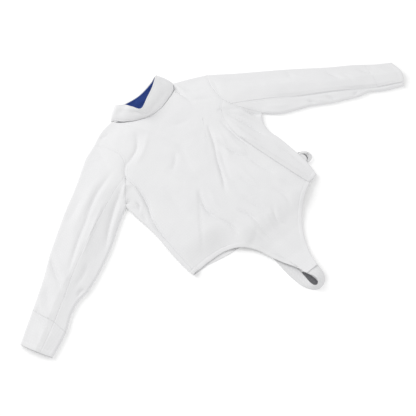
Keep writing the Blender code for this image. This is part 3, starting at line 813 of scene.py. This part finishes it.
# ---- Sleeves ---------------------------------------------------------------------------------
# Each sleeve is cut in two pieces, upper and under, seamed along the forearm on top and once
# more underneath, and set into the armhole. It lies flattened, with creases at the elbow.
ARMHOLE_FADE = 0.3
UNDER_SEAM_SHARE = 0.5
UPPER_REACH = 135.0        # from the sleeve's upper edge to its seam on top
UNDER_REACH = 60.0         # from its lower edge to the same seam
HIDDEN_REACH = 80.0        # from either edge to the seam underneath
SLEEVE_LENGTH = 440.0


def sleeve_plans(name, shares):
    """Plan halves of the upper and the under sleeve at shares of the sleeve's length."""
    top_edge = arm_top[name](shares)
    low_edge = arm_under[name](shares)
    seam = arm_seam[name](shares)
    curve = armhole[name]
    at_seam = armhole_share(name, arm_seam[name](0.0))
    fade = np.clip(1 - shares / ARMHOLE_FADE, 0, 1) ** 2
    hidden = top_edge + (low_edge - top_edge) * UNDER_SEAM_SHARE
    hidden = hidden + fade[:, None] * (curve(UNDER_SEAM_SHARE) - (curve(0.0) + curve(1.0)) / 2)
    halves = []
    for edge, top_reach, start in ((top_edge, UPPER_REACH, 0.0), (low_edge, UNDER_REACH, 1.0)):
        parts = (near_edge(top_reach, PITCH), near_edge(HIDDEN_REACH, HIDDEN_PITCH))
        halves.append(folded_plan(edge, seam, hidden, parts, armhole_bend(name, start, at_seam, fade),
                                  armhole_bend(name, start, UNDER_SEAM_SHARE, fade)))
    return halves


for name in ("right", "left"):
    rows = close_shares(SLEEVE_LENGTH, PITCH, "seam", "seam") * CUFF_START
    for part, plans in zip(("upper", "under"), sleeve_plans(name, rows)):
        grid = trim(folded_grid(plans))
        sleeve = cloth("sleeve_cloth_" + name + "_" + part, grid, canvas)
        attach(sleeve, "root")
        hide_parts("sleeve_" + name + "_" + part)


sleeve_runs = [
    on_cloth(beside(arm_seam["right"], STITCH_MARGIN, 0.03, 0.84)),
    on_cloth(beside(arm_seam["left"], -STITCH_MARGIN, 0.03, 0.84)),
]
stitches("sleeve_stitches", sleeve_runs)

# ---- Cuffs -----------------------------------------------------------------------------------
# Each cuff is a plain band of canvas sewn round the sleeve's end and hemmed at the wrist. It is
# open, so a dark line shows between its two layers.
CUFF_LENGTH = 90.0
CUFF_BOW = {"right": 2.0, "left": 11.0}  # how far the cuff's end bows out
for name in ("right", "left"):
    rows = CUFF_START + close_shares(CUFF_LENGTH, PITCH, "seam", "hem") * (1 - CUFF_START)
    upper, lower = sleeve_plans(name, rows)
    ring = np.concatenate([folded_grid(upper), folded_grid(lower)[:, -2:0:-1]], axis=1)
    outwards = cuff_end[name](0.5)[0] - cuff_seam[name](0.5)[0]
    outwards /= np.linalg.norm(outwards)
    reach = np.linalg.norm(arm_top[name](1.0)[0] - arm_under[name](1.0)[0])
    from_top = np.linalg.norm(ring[-1, :, :2] - arm_top[name](1.0)[0], axis=1) / reach
    bow = CUFF_BOW[name] * np.sin(np.pi * np.clip(from_top, 0, 1))
    growth = np.linspace(0, 1, len(rows))[:, None] ** 1.5
    ring[..., :2] += (growth * bow)[..., None] * outwards
    cuff = cloth("cuff_cloth_" + name, trim(ring, (False, False, True, False)), canvas, ring=True)
    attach(cuff, "root")
    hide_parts("cuff_" + name)

# ---- Collar ----------------------------------------------------------------------------------
# The stand collar is a padded band of canvas sewn to the neckline. It has fallen open: the back
# lies low, the front stands and dips, and the blue lining inside the back shows.
COLLAR = [  # base x, y, z, then top x, y, z
    (-118, 259, 7, -84, 279, 38),
    (-108, 250, 12.5, -80, 272, 44),
    (-93, 232, 15, -63, 256, 48),
    (-62, 208, 19, -52, 236, 50),
    (-22, 194, 21.5, -36, 213, 51),
    (18, 195, 21.5, 2, 234, 52),
    (60, 210, 18.5, 34, 254, 51),
    (93, 229, 15, 60, 275, 50),
    (106, 247, 12.5, 71, 286, 46),
    (112, 257, 7, 75, 290, 41),
    (104, 256, 4, 69, 292, 34),
    (76, 248, 2, 50, 289, 22),
    (0, 243, 2, 0, 280, 14),
    (-80, 249, 2, -52, 278, 20),
    (-110, 257, 4, -76, 281, 31),
]
COLLAR_DENTS = [  # place round the ring in table rows, share of the height, spans of both, depth
    (3.3, 0.60, 0.45, 0.16, -3.4),
    (4.2, 0.42, 0.70, 0.12, -3.0),
    (1.6, 0.55, 0.50, 0.20, -2.2),
    (2.5, 0.80, 0.35, 0.14, 2.0),
    (5.6, 0.35, 0.80, 0.16, -1.8),
    (7.3, 0.62, 0.60, 0.22, -2.0),
    (12.0, 0.50, 1.10, 0.22, -2.0),
]
COLLAR_STEPS = 14          # columns of cloth to each row of the table
COLLAR_HEIGHT = 55.0
COLLAR_PITCH = 2.6
LINING_WALL = 0.9
LINING_GAP = 0.3
LINING_COLUMNS = (7.4, 15.6)  # rows of the collar's table, counted round the ring
LINING_SHARES = (0.02, 0.955)  # of the collar's height
COLLAR_BULGE = 2.5
COLLAR_SEAM_SINK = 1.0
COLLAR_SEAM_REACH = 2.0


def closed_curve(points, steps):
    """Points of a closed smooth curve through the given ones, as many steps to each."""
    pts = np.array(points, dtype=float)
    t = np.linspace(0, 1, steps, endpoint=False)[:, None]
    spans = []
    for k in range(len(pts)):
        a, b, c, d = pts[k - 1], pts[k], pts[(k + 1) % len(pts)], pts[(k + 2) % len(pts)]
        spans.append(0.5 * (2 * b + (c - a) * t + (2 * a - 5 * b + 4 * c - d) * t**2
                            + (3 * b - a - 3 * c + d) * t**3))
    return np.vstack(spans)


def outward(rows):
    """Unit normals of a ring of rows, away from its middle."""
    along = np.roll(rows, -1, axis=1) - np.roll(rows, 1, axis=1)
    normal = np.cross(along, np.gradient(rows, axis=0))
    normal /= np.linalg.norm(normal, axis=2, keepdims=True)
    return normal if np.sum(normal * (rows - rows.mean(axis=(0, 1)))) > 0 else -normal


def collar_rows(shares):
    base = closed_curve([row[:3] for row in COLLAR], COLLAR_STEPS)
    top = closed_curve([row[3:] for row in COLLAR], COLLAR_STEPS)
    rows = np.array([base * (1 - share) + top * share for share in shares])
    bulge = COLLAR_BULGE * np.sin(np.pi * np.asarray(shares))[:, None, None]
    place = np.arange(rows.shape[1])[None, :] / COLLAR_STEPS
    for at, height, span, reach, depth in COLLAR_DENTS:
        falls = bell(place - at, span) * bell(np.asarray(shares)[:, None] - height, reach)
        bulge = bulge + (depth * falls)[..., None]
    return rows + outward(rows) * bulge


# The collar's canvas is a lighter copy of the body's: painted light that makes up for the shade on the
# collar's standing front.
collar_canvas_painted_light = cloth_material("collar_canvas_painted_light", (0.87, 0.87, 0.875, 1.0), (0.84, 0.84, 0.85, 1.0))
collar_shares = close_shares(COLLAR_HEIGHT, COLLAR_PITCH, "seam", "seam")
rows = collar_rows(collar_shares)
from_base = collar_shares * COLLAR_HEIGHT
sink = COLLAR_SEAM_SINK * bell(from_base, COLLAR_SEAM_REACH)
for margin in (STITCH_MARGIN, COLLAR_HEIGHT - STITCH_MARGIN):
    sink += STITCH_SINK * bell(from_base - margin, STITCH_REACH)
collar_grid = rows - outward(rows) * sink[:, None, None]
collar = cloth("collar_cloth", collar_grid, collar_canvas_painted_light, ring=True)
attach(collar, "root")
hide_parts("collar")

lining_cloth = cloth_material("blue_lining", (0.028, 0.075, 0.34, 1.0), (0.016, 0.045, 0.22, 1.0),
                              thread_mm=0.7, depth_mm=0.12, roughness=0.8, sheen=0.2)
rows = collar_rows(np.linspace(LINING_SHARES[0], LINING_SHARES[1], 20))
rows = rows - outward(rows) * (WALL / 2 + LINING_GAP + LINING_WALL / 2)
first, last = (int(column * COLLAR_STEPS) for column in LINING_COLUMNS)
chosen = [k % rows.shape[1] for k in range(first, last)]
lining = cloth("collar_lining_cloth", rows[:, chosen], lining_cloth, LINING_WALL)
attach(lining, "root")
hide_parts("collar_lining")

# ---- Crotch strap ----------------------------------------------------------------------------
# A flat ribbed elastic is sewn to the tongue's tip, bends round with its inner edge up and goes
# back along the surface, under the front, to the back's hem.
WEB_WALL = 1.4
STRAP = [  # inner edge x, y, z, then outer edge x, y, z; it begins lapped under the tongue
    (-7, -447, 15.4, 31, -447, 15.4),
    (-7, -453, 16.9, 31, -453, 16.7),
    (-1, -469, 21.0, 31, -470, 15.0),
    (2, -480, 21.5, 29, -484, 10.5),
    (1, -488, 21.0, 22, -497, 6.0),
    (-3, -494, 19.5, 10, -504, 3.0),
    (-8, -496, 17.5, -5, -505, 1.8),
    (-13, -492, 15.0, -18, -497, 1.2),
    (-15, -483, 12.5, -28, -484, 0.9),
    (-14, -471, 9.5, -35, -467, 0.8),
    (-12, -455, 6.5, -38, -447, 0.8),
    (-10, -435, 4.0, -40, -425, 0.8),
    (-10, -410, 2.0, -40, -400, 0.8),
    (-9, -380, 0.8, -40, -375, 0.8),
    (-8, -340, 0.8, -38, -340, 0.8),
    (-5, -292, 0.8, -35, -292, 0.8),
]
STRAP_STEPS = 96
STRAP_COLUMNS = 15
STRAP_SHADE_PLY_HEIGHT = 3.0
STRAP_SHADE_PLY_SIDES = {
    "left": [(-11, -444), (-13, -455), (-15.5, -471), (-16.5, -483), (-14.5, -491), (-9, -495.5)],
    "right": [(-4, -446), (0, -456), (4, -469), (6, -481), (5, -489), (0, -495)],
}
PLY_WALL = 0.8
elastic = cloth_material("white_elastic", (0.80, 0.80, 0.805, 1.0), (0.73, 0.73, 0.74, 1.0),
                         thread_mm=1.4, depth_mm=0.35, roughness=0.8)
# The dark grey elastic is painted shade: it is laid inside the strap's and the side loop's openings, where
# shade falls.
painted_shade_elastic = cloth_material("painted_shade_elastic", (0.24, 0.24, 0.25, 1.0), (0.15, 0.15, 0.16, 1.0),
                              thread_mm=1.4, depth_mm=0.35, roughness=0.8)


def between(first, last, parts):
    """Rows of points in even blends from one line of points to another."""
    return np.array([first * (1 - part) + last * part for part in parts])


def at_height(plan, height):
    """A flat grid over plan points."""
    return np.concatenate([plan, np.full(plan.shape[:2] + (1,), height)], axis=2)


def by_row(line, steps):
    """A smooth curve through a table's points, at even steps of its rows."""
    points = np.array(line, dtype=float)
    reach = run_length(points)
    rows_reached = np.linspace(0, 1, len(points))
    return path(points)(np.interp(np.linspace(0, 1, steps), rows_reached, reach / reach[-1]))


inner_line = by_row([row[:3] for row in STRAP], STRAP_STEPS)
outer_line = by_row([row[3:] for row in STRAP], STRAP_STEPS)
strap_grid = between(inner_line, outer_line, np.linspace(0, 1, STRAP_COLUMNS))
strap = cloth("strap_elastic", strap_grid, elastic, WEB_WALL)
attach(strap, "root")
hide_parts("crotch_strap")
# A flat dark grey ply under the bend is painted shade: it fills the strap's loop with the shade seen through
# it.
shade_ply_sides = {name: by_row(points, 16) for name, points in STRAP_SHADE_PLY_SIDES.items()}
shade_ply_plan = between(shade_ply_sides["left"], shade_ply_sides["right"], np.linspace(0, 1, 9))
shade_ply_grid = at_height(shade_ply_plan, STRAP_SHADE_PLY_HEIGHT)
strap_shade_ply = cloth("strap_painted_shade_ply", shade_ply_grid, painted_shade_elastic, PLY_WALL)
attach(strap_shade_ply, "root")
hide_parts("crotch_strap")

# ---- Side loop -------------------------------------------------------------------------------
# A short loop of webbing is sewn into the side seam at the wearer's left and stands a little
# way out from it, on its edge.
SIDE_LOOP = [(233.5, -172, 7), (246, -177, 7.5), (256, -187, 8), (257, -199, 8), (248, -208, 7.5),
             (235, -211, 7)]
SIDE_LOOP_WIDTH = 8.8      # of it that stands up
SIDE_LOOP_STEPS = 44
LOOP_PLY_STEPS = 20
LOOP_LEAN = 4.0            # the webbing leans outwards at the bottom, so its face shows from above
LOOP_MIDDLE = np.array([238.0, -191.0])
LOOP_INNER_REACH = 13.0    # of the inner ply, from the middle
LOOP_ROOT = ((233.5, -176.0), (234.0, -208.0))
LOOP_PLIES = (  # name, cloth, first and last share of the reach, height
    ("side_loop_tab", elastic, 0.0, 0.62, 6.5),
    # the dark grey ply at the bend is painted shade
    ("side_loop_painted_shade", painted_shade_elastic, 0.4, 0.9, 3.5),
)
line = path(SIDE_LOOP)(np.linspace(0, 1, SIDE_LOOP_STEPS))
away = line[:, :2] - LOOP_MIDDLE
away /= np.linalg.norm(away, axis=1)[:, None]
leaning = np.sin(np.linspace(0, np.pi, len(line))) ** 0.5
rows = []
for part in np.linspace(-0.5, 0.5, 9):
    row = line + np.array([0.0, 0.0, SIDE_LOOP_WIDTH * part])
    row[:, :2] -= away * (2 * LOOP_LEAN * part * leaning)[:, None]
    rows.append(row)
side_loop = cloth("side_loop_webbing", np.array(rows), elastic, WEB_WALL)
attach(side_loop, "root")
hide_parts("side_loop")
# The webbing's inner ply lies flat inside the loop; its dark grey part at the bend is painted shade, for the
# dark crescent of shade in the loop.
root = np.linspace(LOOP_ROOT[0], LOOP_ROOT[1], LOOP_PLY_STEPS)
chosen = np.linspace(2, SIDE_LOOP_STEPS - 3, LOOP_PLY_STEPS).astype(int)
inner_bend = LOOP_MIDDLE + away[chosen] * LOOP_INNER_REACH
for ply_name, ply_cloth, first, last, height in LOOP_PLIES:
    grid = at_height(between(root, inner_bend, np.linspace(first, last, 8)), height)
    ply = cloth(ply_name, grid, ply_cloth, PLY_WALL)
    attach(ply, "root")
    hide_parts("side_loop")

# ---- Zip fly ---------------------------------------------------------------------------------
# The fly is a folded strip of canvas stitched along the left side seam over the closed zip, and
# wider at the hem.
FLY_SPAN = (0.01, 0.62)    # of the seam's length
FLY_WIDTH = (20.0, 13.0)   # at the hem and at the top
FLY_SETBACK = 1.5          # from the seam
FLY_TAPER = 0.8            # share of its length from which its top end narrows
FLY_WALL = 1.2
LAP_GAP = 0.4
FLY_GROOVES = ((0.18, 0.4), (0.50, 0.3), (0.82, 0.4))  # share of the width, depth
FLY_GROOVE_REACH = 0.07
FLY_TIP = 0.25             # of its width is left at the very top
FLY_ROWS = 70
FLY_COLUMNS = 15
FLY_STITCH_COLUMNS = (3, 11)
# The fly's canvas is a slightly darker copy of the body's: painted shade for the darker band along the zip.
fly_canvas_painted_shade = cloth_material("fly_canvas_painted_shade", (0.80, 0.80, 0.805, 1.0), (0.76, 0.76, 0.77, 1.0))
shares = np.linspace(FLY_SPAN[0], FLY_SPAN[1], FLY_ROWS)
along = np.linspace(0, 1, FLY_ROWS)
across = np.linspace(0, 1, FLY_COLUMNS)
seam = panel_seam["left"](shares)
width = FLY_WIDTH[0] + (FLY_WIDTH[1] - FLY_WIDTH[0]) * along ** 2
width *= 1 - (1 - FLY_TIP) * smooth((along - FLY_TAPER) / (1 - FLY_TAPER))
plan = np.array([seam + np.stack([FLY_SETBACK + (width - FLY_SETBACK) * part, 0 * width], axis=1)
                 for part in across])
fly_grid = raised(plan, 0, lift=WALL / 2 + LAP_GAP + FLY_WALL / 2)
for at, depth in FLY_GROOVES:
    fly_grid[..., 2] -= depth * bell(across - at, FLY_GROOVE_REACH)[:, None]
fly = cloth("fly_cloth", fly_grid, fly_canvas_painted_shade, FLY_WALL)
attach(fly, "root")
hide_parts("zip_fly")
fly_face = fly_grid + np.array([0.0, 0.0, FLY_WALL / 2])
stitches("fly_stitches", [fly_face[k] for k in FLY_STITCH_COLUMNS])
